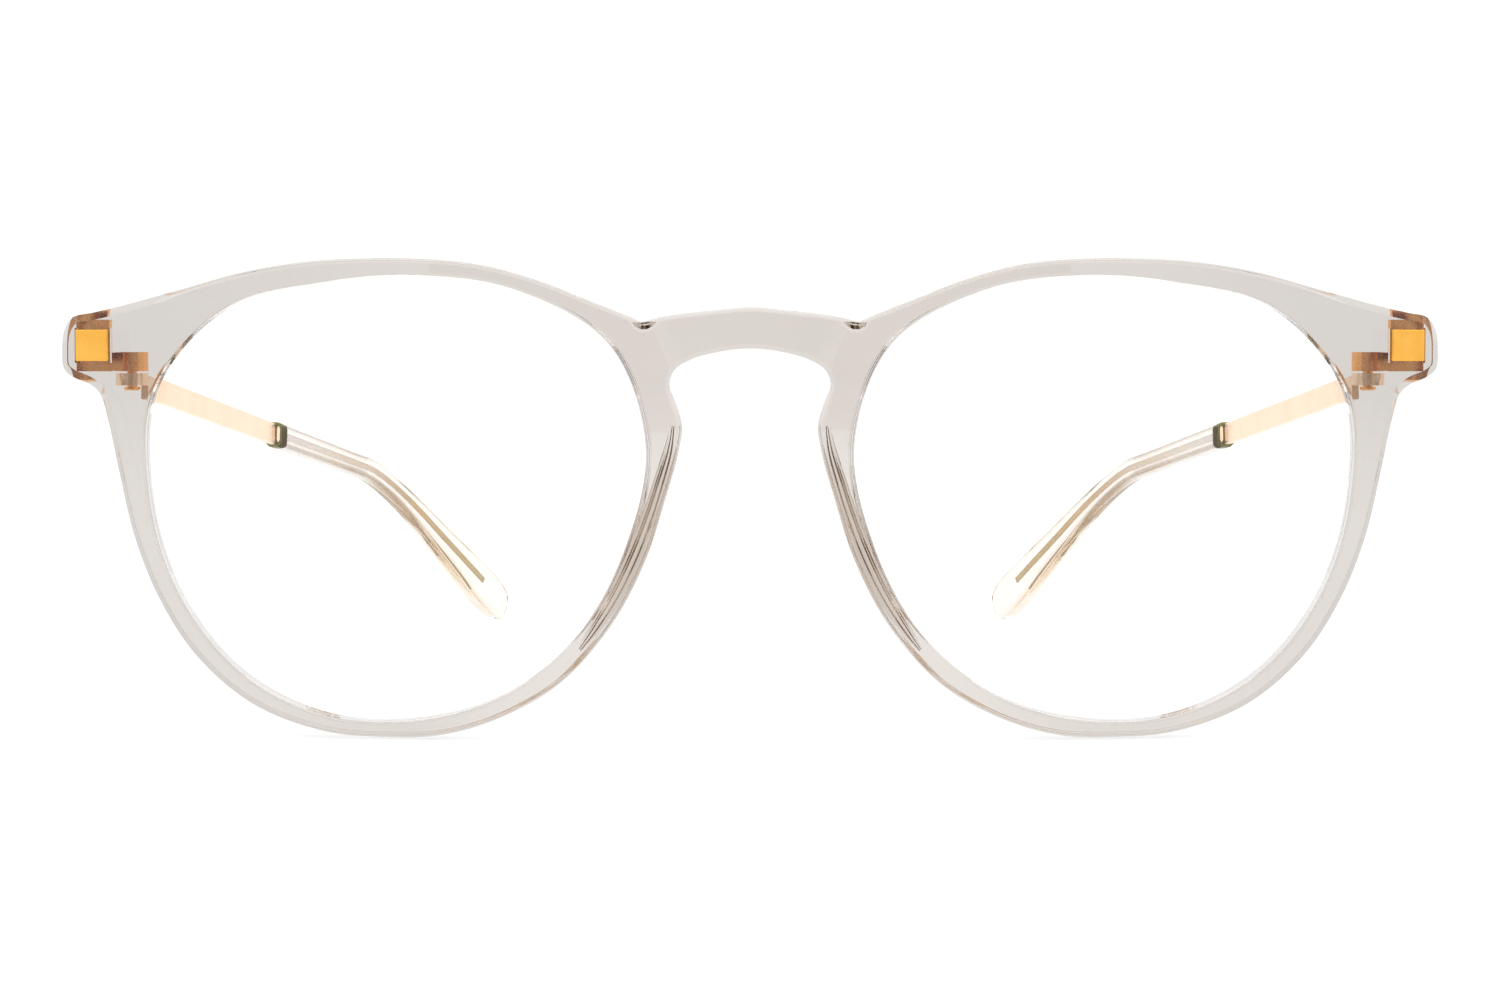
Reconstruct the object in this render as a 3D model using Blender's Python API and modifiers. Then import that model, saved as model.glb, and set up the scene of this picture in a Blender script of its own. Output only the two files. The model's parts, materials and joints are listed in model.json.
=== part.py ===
"""Eyeglasses with a translucent acetate front, gold sheet-metal temples and clear acetate tips.

Lengths are millimetres until a mesh is made, where MM turns them into metres.
X runs across the face, +Y from the front towards the ears, +Z up. Left and right are the wearer's:
the wearer looks along -Y, so left is +X. The rims and the two tips stand on Z = 0.
A side is +1 on the wearer's left and -1 on the right.
"""

import math

import bmesh
import bpy
from mathutils import Matrix, Vector

MM = 0.001
SIDES = (("left", 1), ("right", -1))

# Front: its plane lies at FRONT_Y, and it curves back towards the ends on a large radius.
FRONT_Y = -73.8
FRONT_RADIUS = 320.0
RIM_DEPTH = 4.0
SLICE = 5.0
CURVE_STEPS = 4

# Half of the front's outline, from the top of the bridge round the rim to the bridge's underside.
OUTER_HALF = (
    (0.0, 41.7), (3.6, 41.4), (7.2, 41.0), (9.6, 40.6), (10.5, 40.45), (11.4, 40.75),
    (14.4, 41.9), (20.2, 44.2), (26.0, 45.8), (31.9, 46.4), (37.8, 46.45), (43.7, 46.1),
    (49.6, 45.1), (55.6, 43.5), (61.7, 41.9), (64.6, 41.25), (66.6, 40.8), (67.5, 39.4),
    (67.7, 37.5), (67.55, 35.8), (66.6, 34.95), (65.0, 34.3), (63.9, 33.4), (63.0, 30.6),
    (62.0, 25.9), (60.4, 19.2), (57.9, 13.1), (54.2, 7.6), (48.6, 3.0), (41.7, 0.5),
    (35.8, 0.0), (29.9, 0.25), (24.1, 2.0), (18.3, 5.4), (13.3, 11.1), (10.0, 17.4),
    (8.2, 22.9), (6.9, 27.5), (6.5, 30.3), (7.1, 32.5), (7.75, 34.3), (7.3, 35.6),
    (5.8, 36.6), (2.9, 37.4), (0.0, 37.7),
)
# One lens opening, anticlockwise from the temple side.
OPENING = (
    (58.9, 23.2), (58.3, 33.9), (51.1, 41.7), (41.2, 44.2), (32.1, 44.8), (22.7, 43.4),
    (13.7, 38.2), (10.1, 28.4), (12.1, 18.5), (16.6, 10.2), (23.5, 4.3), (32.1, 1.7),
    (41.3, 2.0), (49.8, 6.1), (55.9, 13.6),
)
OPENING_CENTRE = (34.4, 23.2)
OPENING_REACH = 24.5

# Lens and the groove that holds its edge; the groove is wider and deeper by the fitting gap.
LENS_EDGE = 0.5
LENS_THICKNESS = 1.0
LENS_FRONT = 1.5
LENS_CROWN = 0.9
GROOVE_GAP = 0.25

# Square plate set into the front of each end piece, with a stud that runs back to the hinge.
PLATE_X = 64.47
PLATE_Z = 38.05
PLATE_SIZE = (3.4, 3.1)
PLATE_THICKNESS = 0.85
PLATE_PROUD = 0.3
PLATE_GAP = 0.15
STUD_RADIUS = 0.3
HOLE_RADIUS = 0.45

# Hinge, in the plate's tilted frame: the leaf lies behind the end piece, the barrel inboard of it.
LEAF_THICKNESS = 0.7
LEAF_ALONG = (-0.65, 2.8)
LEAF_Z = (35.5, 40.6)
AXIS_ALONG = -2.0
AXIS_BACK = 6.5
BARREL_RADIUS = 1.6
BORE_RADIUS = 0.55
PIN_RADIUS = 0.5
PIN_HEAD_RADIUS = 0.8
WEB_INSET = 0.05
LEAF_KNUCKLE_Z = (35.5, 37.4)
ARM_KNUCKLE_Z = (34.1, 35.3)
PIN_Z = (33.6, 37.35)
PIN_HEAD_HEIGHT = 0.35
ROUND_STEPS = 32

# Temple: a straight run, an ear bend, then the drop to the tip.
STRIP_THICKNESS = 0.7
STRIP_HEIGHT = 2.4
ARM_Z = 33.9
INWARD = 0.1026
DOWNWARD = 0.1186
BEND_Y = 108.8
BEND_RADIUS = 45.0
DROP = (-13.2, 24.5, -18.5)
FERRULE_AT = 51.6
FERRULE_SIZE = (1.9, 1.4, 2.85)
FERRULE_BEVEL = 0.3
TEMPLE_GAP = 0.15
CORE_HEIGHT = 0.8
CORE_THICKNESS = 0.6
CORE_END = 137.0
# Along the temple: distance from the hinge, thickness across, height, and how far the section
# hangs below the metal core.
TIP_SECTIONS = (
    (53.15, 1.9, 2.7, 0.0), (68.0, 2.0, 2.7, 0.0), (84.0, 2.1, 2.65, 0.0), (98.0, 2.2, 2.8, 0.0),
    (108.0, 2.2, 2.95, 0.1), (116.0, 2.3, 3.2, 0.2), (124.0, 2.3, 3.8, 0.3), (131.0, 2.4, 4.6, 0.4),
    (137.0, 2.4, 5.4, 0.5), (141.0, 2.4, 5.3, 0.5), (143.4, 2.0, 4.2, 0.5), (144.6, 1.2, 2.4, 0.5),
)
TIP_SIDES = 16

# Nose pad: a leaf along the rear of the nasal rim. Along its line: X, Z, base width, height, flare.
PAD_SECTIONS = (
    (7.2, 30.2, 0.5, 0.4, 0.1), (7.4, 27.6, 1.5, 2.0, 0.5), (8.1, 24.4, 2.0, 3.5, 0.9),
    (9.1, 20.8, 2.2, 4.2, 1.1), (10.5, 17.0, 2.2, 4.1, 1.1), (12.3, 13.4, 2.1, 3.3, 0.9),
    (14.4, 10.3, 1.8, 2.0, 0.6), (16.3, 8.2, 0.8, 0.6, 0.2),
)
PAD_SETBACK = 0.35
PAD_GAP = 0.1
PAD_CREST = 0.7


def clear_scene():
    for obj in list(bpy.data.objects):
        bpy.data.objects.remove(obj, do_unlink=True)


def new_collection(name, hidden=False):
    collection = bpy.data.collections.new(name)
    bpy.context.scene.collection.children.link(collection)
    collection.hide_render = hidden
    return collection


def new_material(name, colour, roughness, metallic=0.0, transmission=0.0):
    material = bpy.data.materials.new(name)
    material.use_nodes = True
    shader = material.node_tree.nodes["Principled BSDF"]
    shader.inputs["Base Color"].default_value = (*colour, 1.0)
    shader.inputs["Roughness"].default_value = roughness
    shader.inputs["Metallic"].default_value = metallic
    shader.inputs["Transmission Weight"].default_value = transmission
    shader.inputs["IOR"].default_value = 1.49
    return material


def smooth_loop(points, steps):
    """A closed curve through the points, as a centripetal Catmull-Rom spline."""
    points = [Vector(point) for point in points]
    curve = []
    for i, here in enumerate(points):
        before = points[i - 1]
        after = points[(i + 1) % len(points)]
        beyond = points[(i + 2) % len(points)]
        knots = [0.0]
        for first, second in ((before, here), (here, after), (after, beyond)):
            knots.append(knots[-1] + math.sqrt((second - first).length))
        for step in range(steps):
            at = knots[1] + (knots[2] - knots[1]) * step / steps

            def between(first, second, low, high):
                return first + (second - first) * ((at - knots[low]) / (knots[high] - knots[low]))

            a = between(before, here, 0, 1)
            b = between(here, after, 1, 2)
            c = between(after, beyond, 2, 3)
            curve.append(between(between(a, b, 0, 2), between(b, c, 1, 3), 1, 2))
    return curve


def curved_back(x):
    """How far the front has curved back, a distance x from its middle."""
    return x * x / (2 * FRONT_RADIUS)


def opening_outline(side, grow=0.0):
    """The opening's outline, grown by a rim of about this width."""
    scale = 1 + grow / OPENING_REACH
    cx, cz = OPENING_CENTRE
    points = [(side * (cx + (x - cx) * scale), cz + (z - cz) * scale) for x, z in OPENING]
    return smooth_loop(points, CURVE_STEPS)


def front_outline():
    mirrored = [(-x, z) for x, z in reversed(OUTER_HALF[1:-1])]
    return smooth_loop(list(OUTER_HALF) + mirrored, CURVE_STEPS)


def new_object(name, mesh, collection, material=None):
    obj = bpy.data.objects.new(name, mesh)
    collection.objects.link(obj)
    if material:
        mesh.materials.append(material)
    if collection.hide_render:
        obj.hide_render = True
        obj.display_type = "WIRE"
    return obj


def mesh_of(bm, name):
    bmesh.ops.recalc_face_normals(bm, faces=bm.faces)
    mesh = bpy.data.meshes.new(name)
    bm.to_mesh(mesh)
    bm.free()
    return mesh


def outline_mesh(name, outlines, front, depth):
    """A plate of this depth with these outlines in the XZ plane. Inner outlines are holes."""
    curve = bpy.data.curves.new(name, "CURVE")
    curve.dimensions = "2D"
    curve.fill_mode = "BOTH"
    curve.extrude = depth / 2 * MM
    for outline in outlines:
        spline = curve.splines.new("POLY")
        spline.points.add(len(outline) - 1)
        for point, (x, z) in zip(spline.points, outline):
            point.co = (x * MM, z * MM, 0.0, 1.0)
        spline.use_cyclic_u = True
    guide = bpy.data.objects.new(name, curve)
    bpy.context.scene.collection.objects.link(guide)
    bpy.context.view_layer.update()
    graph = bpy.context.evaluated_depsgraph_get()
    mesh = bpy.data.meshes.new_from_object(guide.evaluated_get(graph))
    bpy.data.objects.remove(guide, do_unlink=True)
    # The curve lies in XY, so it is stood up, with its thickness along Y.
    middle = Matrix.Translation((0, (front + depth / 2) * MM, 0))
    mesh.transform(middle @ Matrix.Rotation(math.pi / 2, 4, "X"))
    bm = bmesh.new()
    bm.from_mesh(mesh)
    bmesh.ops.remove_doubles(bm, verts=bm.verts, dist=1e-6)
    return bm


def slice_along(bm, axis, low, high):
    """Cuts the faces at even steps along an axis, so that they can bend."""
    normal = Vector((axis == 0, axis == 1, axis == 2))
    count = int((high - low) / SLICE)
    for i in range(1, count):
        at = low + (high - low) * i / count
        geometry = bm.verts[:] + bm.edges[:] + bm.faces[:]
        bmesh.ops.bisect_plane(bm, geom=geometry, plane_co=normal * at * MM, plane_no=normal, dist=1e-7)


def bend_back(bm, crown=0.0, centre=(0.0, 0.0), reach=1.0):
    """Curves a plate back like the front, with a crown that bulges forwards round a centre."""
    for vertex in bm.verts:
        x, z = vertex.co.x / MM, vertex.co.z / MM
        away = ((x - centre[0]) ** 2 + (z - centre[1]) ** 2) / reach**2
        vertex.co.y += (FRONT_Y + curved_back(x) - crown * (1 - min(away, 1.0))) * MM


def cut(obj, cutter, operation="DIFFERENCE"):
    modifier = obj.modifiers.new(f"{operation.lower()} {cutter.name}", "BOOLEAN")
    modifier.operation = operation
    modifier.solver = "EXACT"
    modifier.object = cutter


def front_frame(parts, cutters, material):
    outlines = [front_outline(), opening_outline(1), opening_outline(-1)]
    bm = outline_mesh("front_frame", outlines, 0.0, RIM_DEPTH)
    slice_along(bm, 0, -70.0, 70.0)
    bend_back(bm)
    frame = new_object("front_frame", mesh_of(bm, "front_frame"), parts, material)
    groove_front = LENS_FRONT - GROOVE_GAP
    groove_depth = LENS_THICKNESS + 2 * GROOVE_GAP
    for name, side in SIDES:
        outline = opening_outline(side, LENS_EDGE + GROOVE_GAP)
        bm = outline_mesh("groove", [outline], groove_front, groove_depth)
        slice_along(bm, 0, -70.0, 70.0)
        bend_back(bm)
        groove = new_object(f"groove_cutter_{name}", mesh_of(bm, "groove"), cutters)
        cut(frame, groove)
        cut(frame, plate_pocket(name, side, cutters))
        cut(frame, stud_hole(name, side, cutters))
    return frame


def lens(name, side, parts, material):
    cx, cz = side * OPENING_CENTRE[0], OPENING_CENTRE[1]
    bm = outline_mesh("lens", [opening_outline(side, LENS_EDGE)], LENS_FRONT, LENS_THICKNESS)
    slice_along(bm, 0, cx - 30.0, cx + 30.0)
    slice_along(bm, 2, cz - 30.0, cz + 30.0)
    bend_back(bm, LENS_CROWN, (cx, cz), OPENING_REACH)
    return new_object(f"lens_{name}", mesh_of(bm, "lens"), parts, material)


def plate_frame(side):
    """The plate's frame: X along the end piece outwards, Y back through it, Z up."""
    slope = PLATE_X / FRONT_RADIUS
    along = Vector((1.0, slope, 0.0)).normalized()
    back = Vector((-along.y, along.x, 0.0))
    along.x *= side
    back.x *= side
    origin = Vector((side * PLATE_X, FRONT_Y + curved_back(PLATE_X), PLATE_Z)) * MM
    turn = Matrix((along, back, Vector((0, 0, 1)))).transposed().to_4x4()
    return Matrix.Translation(origin) @ turn


def hinge_axis(side):
    point = plate_frame(side) @ (Vector((AXIS_ALONG, AXIS_BACK, 0.0)) * MM)
    return Vector((point.x, point.y, 0.0))


def box_into(bm, low, high, frame):
    size = Vector(high) - Vector(low)
    middle = (Vector(high) + Vector(low)) / 2
    scale = Matrix.Diagonal((*(size * MM), 1.0))
    bmesh.ops.create_cube(bm, size=1.0, matrix=frame @ Matrix.Translation(middle * MM) @ scale)


def rod_into(bm, radius, ends, frame):
    """A rod along the frame's Z, between these two heights."""
    low, high = ends
    shift = Matrix.Translation((0, 0, (low + high) / 2 * MM))
    bmesh.ops.create_cone(
        bm, cap_ends=True, segments=ROUND_STEPS, radius1=radius * MM, radius2=radius * MM,
        depth=(high - low) * MM, matrix=frame @ shift,
    )


def shape(name, make, collection, material=None):
    bm = bmesh.new()
    make(bm)
    return new_object(name, mesh_of(bm, name), collection, material)


def along_stud(side):
    """The plate's frame turned so that Z runs back along the stud."""
    return plate_frame(side) @ Matrix.Rotation(-math.pi / 2, 4, "X")


def plate_pocket(name, side, cutters):
    half_x = PLATE_SIZE[0] / 2 + PLATE_GAP
    half_z = PLATE_SIZE[1] / 2 + PLATE_GAP
    floor = PLATE_THICKNESS - PLATE_PROUD + PLATE_GAP
    low, high = (-half_x, -3.0, -half_z), (half_x, floor, half_z)
    return shape(
        f"pocket_cutter_{name}", lambda bm: box_into(bm, low, high, plate_frame(side)), cutters
    )


def stud_hole(name, side, cutters):
    return shape(
        f"stud_hole_cutter_{name}",
        lambda bm: rod_into(bm, HOLE_RADIUS, (-1.0, 8.0), along_stud(side)),
        cutters,
    )


def leaf_back():
    """Where the leaf starts, back from the front surface along the plate's frame."""
    slope = PLATE_X / FRONT_RADIUS
    return RIM_DEPTH / math.hypot(1.0, slope) + PLATE_GAP


def front_plate(name, side, parts, cutters, material):
    half_x, half_z = PLATE_SIZE[0] / 2, PLATE_SIZE[1] / 2
    front, back = -PLATE_PROUD, PLATE_THICKNESS - PLATE_PROUD
    low, high = (-half_x, front, -half_z), (half_x, back, half_z)
    plate = shape(
        f"front_plate_{name}", lambda bm: box_into(bm, low, high, plate_frame(side)), parts, material
    )
    stud_end = leaf_back() + LEAF_THICKNESS + 0.2
    stud = shape(
        f"stud_{name}",
        lambda bm: rod_into(bm, STUD_RADIUS, (back - 0.3, stud_end), along_stud(side)),
        cutters,
    )
    cut(plate, stud, "UNION")
    return plate


def hinge_leaf(name, side, parts, cutters, material):
    start = leaf_back()
    low = (LEAF_ALONG[0], start, LEAF_Z[0] - PLATE_Z)
    high = (LEAF_ALONG[1], start + LEAF_THICKNESS, LEAF_Z[1] - PLATE_Z)
    leaf = shape(
        f"hinge_leaf_{name}", lambda bm: box_into(bm, low, high, plate_frame(side)), parts, material
    )
    axis = Matrix.Translation(hinge_axis(side))
    barrel = shape(
        f"leaf_barrel_{name}", lambda bm: rod_into(bm, BARREL_RADIUS, LEAF_KNUCKLE_Z, axis), cutters
    )
    low_z, high_z = LEAF_KNUCKLE_Z[0] - PLATE_Z, LEAF_KNUCKLE_Z[1] - PLATE_Z
    web_low = (AXIS_ALONG, start + WEB_INSET, low_z + WEB_INSET)
    web_high = (AXIS_ALONG + BARREL_RADIUS - WEB_INSET, AXIS_BACK, high_z - WEB_INSET)
    web = shape(
        f"leaf_web_{name}", lambda bm: box_into(bm, web_low, web_high, plate_frame(side)), cutters
    )
    bore = shape(
        f"leaf_bore_{name}",
        lambda bm: rod_into(bm, BORE_RADIUS, (LEAF_KNUCKLE_Z[0] - 1, LEAF_KNUCKLE_Z[1] + 1), axis),
        cutters,
    )
    cut(leaf, web, "UNION")
    cut(leaf, barrel, "UNION")
    cut(leaf, bore)
    cut(leaf, bpy.data.objects[f"stud_hole_cutter_{name}"])
    return leaf


def hinge_pin(name, side, parts, material):
    """A turned pin: its profile runs down the outside, and the screw turns it round Z."""
    low, high = PIN_Z
    profile = (
        (0.0, high), (PIN_RADIUS - 0.1, high), (PIN_RADIUS, high - 0.1),
        (PIN_RADIUS, low + PIN_HEAD_HEIGHT), (PIN_HEAD_RADIUS, low + PIN_HEAD_HEIGHT),
        (PIN_HEAD_RADIUS, low + 0.15), (PIN_HEAD_RADIUS - 0.15, low), (0.0, low),
    )
    mesh = bpy.data.meshes.new("hinge_pin")
    points = [(r * MM, 0.0, z * MM) for r, z in profile]
    mesh.from_pydata(points, [(i, i + 1) for i in range(len(points) - 1)], [])
    pin = new_object(f"hinge_pin_{name}", mesh, parts, material)
    screw = pin.modifiers.new("turned", "SCREW")
    screw.axis = "Z"
    screw.steps = ROUND_STEPS
    screw.render_steps = ROUND_STEPS
    screw.use_merge_vertices = True
    screw.merge_threshold = 1e-6
    pin.location = hinge_axis(side)
    return pin


def temple_path(side):
    """The middle line from hinge to tip: its start, the bend's corner, and the two directions."""
    axis = hinge_axis(side) / MM
    inboard = BARREL_RADIUS - STRIP_THICKNESS / 2
    start = Vector((side * axis.x - inboard, axis.y, ARM_Z))
    first = Vector((-INWARD, 1.0, -DOWNWARD))
    corner = start + first * BEND_Y
    return start, corner, first.normalized(), Vector(DROP).normalized()


def temple_frame(at, side):
    """Position, inward-to-outward axis and upward axis of the temple, a distance from the hinge."""
    start, corner, first, second = temple_path(side)
    turn = first.angle(second)
    tangent_length = BEND_RADIUS * math.tan(turn / 2)
    straight = (corner - start).length - tangent_length
    arc = BEND_RADIUS * turn
    if at <= straight:
        point, direction = start + first * at, first
    elif at >= straight + arc:
        point = corner + second * (tangent_length + at - straight - arc)
        direction = second
    else:
        angle = (at - straight) / BEND_RADIUS
        inwards = (second - first * first.dot(second)).normalized()
        centre = start + first * straight + inwards * BEND_RADIUS
        point = centre + (first * math.sin(angle) - inwards * math.cos(angle)) * BEND_RADIUS
        direction = first * math.cos(angle) + inwards * math.sin(angle)
    across = Vector((direction.y, -direction.x, 0.0)).normalized()
    up = across.cross(direction)
    mirror = Vector((side, 1.0, 1.0))
    return point * mirror, across * mirror, up * mirror, direction * mirror


def loft(bm, rings):
    """Joins rings of equally many points into one closed skin with flat ends."""
    made = [[bm.verts.new(point * MM) for point in ring] for ring in rings]
    count = len(rings[0])
    for ring, following in zip(made, made[1:]):
        for i in range(count):
            j = (i + 1) % count
            bm.faces.new((ring[i], ring[j], following[j], following[i]))
    bm.faces.new(made[0])
    bm.faces.new(made[-1])


def flat_ring(at, side, thickness, height):
    point, across, up, _ = temple_frame(at, side)
    corners = ((-1, -1), (1, -1), (1, 1), (-1, 1))
    return [point + across * (a * thickness / 2) + up * (b * height / 2) for a, b in corners]


def strip_stations(first, last):
    """Places along the temple: few on the straight run, close together round the bend."""
    start, corner, _, _ = temple_path(1)
    bend = (corner - start).length
    near, far = bend - BEND_RADIUS / 2, bend + BEND_RADIUS / 2
    stations = [first] + [near + (far - near) * i / 12 for i in range(13)] + [last]
    return [at for at in stations if first <= at <= last]


def temple_arm(name, side, parts, cutters, material):
    shoulder = FERRULE_AT - TEMPLE_GAP
    rings = [flat_ring(at, side, STRIP_THICKNESS, STRIP_HEIGHT) for at in (0.0, shoulder)]
    for at in strip_stations(shoulder + 0.02, CORE_END):
        rings.append(flat_ring(at, side, CORE_THICKNESS, CORE_HEIGHT))
    arm = shape(f"temple_arm_{name}", lambda bm: loft(bm, rings), parts, material)
    axis = Matrix.Translation(hinge_axis(side))
    barrel = shape(
        f"arm_barrel_{name}", lambda bm: rod_into(bm, BARREL_RADIUS, ARM_KNUCKLE_Z, axis), cutters
    )
    bore = shape(
        f"arm_bore_{name}",
        lambda bm: rod_into(bm, BORE_RADIUS, (ARM_KNUCKLE_Z[0] - 1, ARM_KNUCKLE_Z[1] + 1), axis),
        cutters,
    )
    cut(arm, barrel, "UNION")
    cut(arm, bore)
    return arm


def core_channel(name, side, cutters):
    """The space that the core passes through in the ferrule and the tip."""
    thickness = CORE_THICKNESS + 2 * TEMPLE_GAP
    height = CORE_HEIGHT + 2 * TEMPLE_GAP
    stations = strip_stations(FERRULE_AT - 1.0, CORE_END + TEMPLE_GAP)
    rings = [flat_ring(at, side, thickness, height) for at in stations]
    return shape(f"core_channel_{name}", lambda bm: loft(bm, rings), cutters)


def ferrule(name, side, parts, channel, material):
    point, across, up, direction = temple_frame(FERRULE_AT + FERRULE_SIZE[1] / 2, side)
    turn = Matrix((across, direction, up)).transposed().to_4x4()
    frame = Matrix.Translation(point * MM) @ turn
    half = Vector(FERRULE_SIZE) / 2
    ring = shape(f"ferrule_{name}", lambda bm: box_into(bm, -half, half, frame), parts, material)
    bevel = ring.modifiers.new("chamfer", "BEVEL")
    bevel.width = FERRULE_BEVEL * MM
    bevel.segments = 1
    cut(ring, channel)
    return ring


def tip_ring(at, side, thickness, height, hang):
    """A rounded section: a superellipse, between an ellipse and a rectangle."""
    point, across, up, _ = temple_frame(at, side)
    ring = []
    for i in range(TIP_SIDES):
        angle = 2 * math.pi * i / TIP_SIDES
        c, s = math.cos(angle), math.sin(angle)
        a = math.copysign(abs(c) ** 0.75, c) * thickness / 2
        b = math.copysign(abs(s) ** 0.75, s) * height / 2
        ring.append(point + across * a + up * (b - hang))
    return ring


def temple_tip(name, side, parts, channel, material):
    rings = [tip_ring(at, side, *section) for at, *section in TIP_SECTIONS]
    tip = shape(f"temple_tip_{name}", lambda bm: loft(bm, rings), parts, material)
    cut(tip, channel)
    return tip


def nose_pad(name, side, parts, material):
    """A leaf whose sections stand on the rim's rear face and flare away from the nose."""
    rings = []
    last = len(PAD_SECTIONS) - 1
    for i, (x, z, width, height, flare) in enumerate(PAD_SECTIONS):
        before, after = PAD_SECTIONS[max(i - 1, 0)], PAD_SECTIONS[min(i + 1, last)]
        along = Vector((after[0] - before[0], 0.0, after[1] - before[1])).normalized()
        outwards = Vector((-along.z, 0.0, along.x))
        crest = min(PAD_CREST, width / 3)
        section = (
            (0.0, 0.0), (flare / 2, height / 2), (flare, height - crest / 2),
            (flare + crest / 2, height), (flare + crest, height - crest / 2),
            (width, height / 3), (width, 0.0),
        )
        ring = []
        for across, back in section:
            point = Vector((x, 0.0, z)) + outwards * (PAD_SETBACK + across)
            rear = FRONT_Y + curved_back(point.x) + RIM_DEPTH + PAD_GAP
            ring.append(Vector((side * point.x, rear + back, point.z)))
        rings.append(ring)
    return shape(f"nose_pad_{name}", lambda bm: loft(bm, rings), parts, material)


def ride_on_hinge(obj, empty):
    """Moves an object's origin onto the hinge axis and parents it there, its shape left in place."""
    obj.data.transform(Matrix.Translation(-empty.location))
    obj.parent = empty


def smooth_round(obj):
    obj.data.shade_smooth()
    obj.data.set_sharp_from_angle(angle=math.radians(35))


def main():
    clear_scene()
    parts = new_collection("eyeglasses")
    cutters = new_collection("cutters", hidden=True)
    acetate = new_material("champagne_acetate", (0.72, 0.68, 0.64), 0.05, transmission=0.9)
    clear_acetate = new_material("clear_acetate", (0.95, 0.9, 0.82), 0.05, transmission=0.9)
    glass = new_material("lens_clear", (0.98, 0.98, 0.98), 0.02, transmission=1.0)
    gold = new_material("satin_gold", (0.9, 0.62, 0.25), 0.3, metallic=1.0)
    dark_gold = new_material("olive_gold", (0.32, 0.27, 0.1), 0.3, metallic=1.0)

    front_frame(parts, cutters, acetate)
    for name, side in SIDES:
        nose_pad(name, side, parts, acetate)
        lens(name, side, parts, glass)
        front_plate(name, side, parts, cutters, gold)
        hinge_leaf(name, side, parts, cutters, gold)
        hinge_pin(name, side, parts, gold)
        hinge = bpy.data.objects.new(f"hinge_axis_{name}", None)
        hinge.location = hinge_axis(side)
        parts.objects.link(hinge)
        channel = core_channel(name, side, cutters)
        moving = (
            temple_arm(name, side, parts, cutters, gold),
            ferrule(name, side, parts, channel, dark_gold),
            temple_tip(name, side, parts, channel, clear_acetate),
        )
        for obj in moving:
            ride_on_hinge(obj, hinge)
    for obj in parts.objects:
        if obj.type == "MESH":
            smooth_round(obj)


main()
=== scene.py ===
"""Looks of the eyeglasses: polished acetate front, satin gold sheet temples, clear tips.

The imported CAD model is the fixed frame. Lengths here are millimetres until a mesh is made, where MM
turns them into metres. X runs across the face, +Y from the front towards the ears, +Z up. Left and
right are the wearer's, so left is +X. A side is +1 on the wearer's left and -1 on the right.
"""

import json
import math

import bmesh
import bpy
from mathutils import Matrix, Vector


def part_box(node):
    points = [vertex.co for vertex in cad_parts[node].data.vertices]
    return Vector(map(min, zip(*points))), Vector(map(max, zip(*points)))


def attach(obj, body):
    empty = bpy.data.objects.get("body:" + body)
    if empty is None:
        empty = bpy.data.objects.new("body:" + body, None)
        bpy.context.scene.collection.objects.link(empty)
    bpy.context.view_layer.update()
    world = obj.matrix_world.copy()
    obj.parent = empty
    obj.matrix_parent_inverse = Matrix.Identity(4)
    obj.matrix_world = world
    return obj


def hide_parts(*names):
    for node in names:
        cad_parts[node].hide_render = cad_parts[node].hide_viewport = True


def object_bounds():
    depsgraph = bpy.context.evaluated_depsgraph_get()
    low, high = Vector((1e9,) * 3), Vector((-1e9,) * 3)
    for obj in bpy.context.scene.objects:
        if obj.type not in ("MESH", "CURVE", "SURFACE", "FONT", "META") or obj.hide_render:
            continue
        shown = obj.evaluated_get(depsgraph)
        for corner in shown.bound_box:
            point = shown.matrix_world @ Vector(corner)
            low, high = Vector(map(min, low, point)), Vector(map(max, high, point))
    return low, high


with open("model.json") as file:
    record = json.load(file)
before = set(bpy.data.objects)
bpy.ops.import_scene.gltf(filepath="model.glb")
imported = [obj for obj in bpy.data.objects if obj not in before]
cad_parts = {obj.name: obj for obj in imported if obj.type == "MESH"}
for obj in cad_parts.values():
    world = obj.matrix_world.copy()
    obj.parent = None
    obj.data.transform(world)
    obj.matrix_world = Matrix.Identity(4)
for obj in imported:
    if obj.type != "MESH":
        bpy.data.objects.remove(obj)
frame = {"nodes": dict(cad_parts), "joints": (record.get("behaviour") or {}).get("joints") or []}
cad_low, cad_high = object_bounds()

MM = 0.001
SIDES = (("left", 1), ("right", -1))

# Front: the same outlines as the CAD front, read more finely here.
FRONT_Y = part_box("front_frame")[0].y / MM
FRONT_RADIUS = 320.0
RIM_DEPTH = 4.0
OUTER_HALF = (
    (0.0, 41.7), (3.6, 41.4), (7.2, 41.0), (9.6, 40.6), (10.5, 40.45), (11.4, 40.75),
    (14.4, 41.9), (20.2, 44.2), (26.0, 45.8), (31.9, 46.4), (37.8, 46.45), (43.7, 46.1),
    (49.6, 45.1), (55.6, 43.5), (61.7, 41.9), (64.6, 41.25), (66.6, 40.8), (67.5, 39.4),
    (67.7, 37.5), (67.55, 35.8), (66.6, 34.95), (65.0, 34.3), (63.9, 33.4), (63.0, 30.6),
    (62.0, 25.9), (60.4, 19.2), (57.9, 13.1), (54.2, 7.6), (48.6, 3.0), (41.7, 0.5),
    (35.8, 0.0), (29.9, 0.25), (24.1, 2.0), (18.3, 5.4), (13.3, 11.1), (10.0, 17.4),
    (8.2, 22.9), (6.9, 27.5), (6.5, 30.3), (7.1, 32.5), (7.75, 34.3), (7.3, 35.6),
    (5.8, 36.6), (2.9, 37.4), (0.0, 37.7),
)
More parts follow.
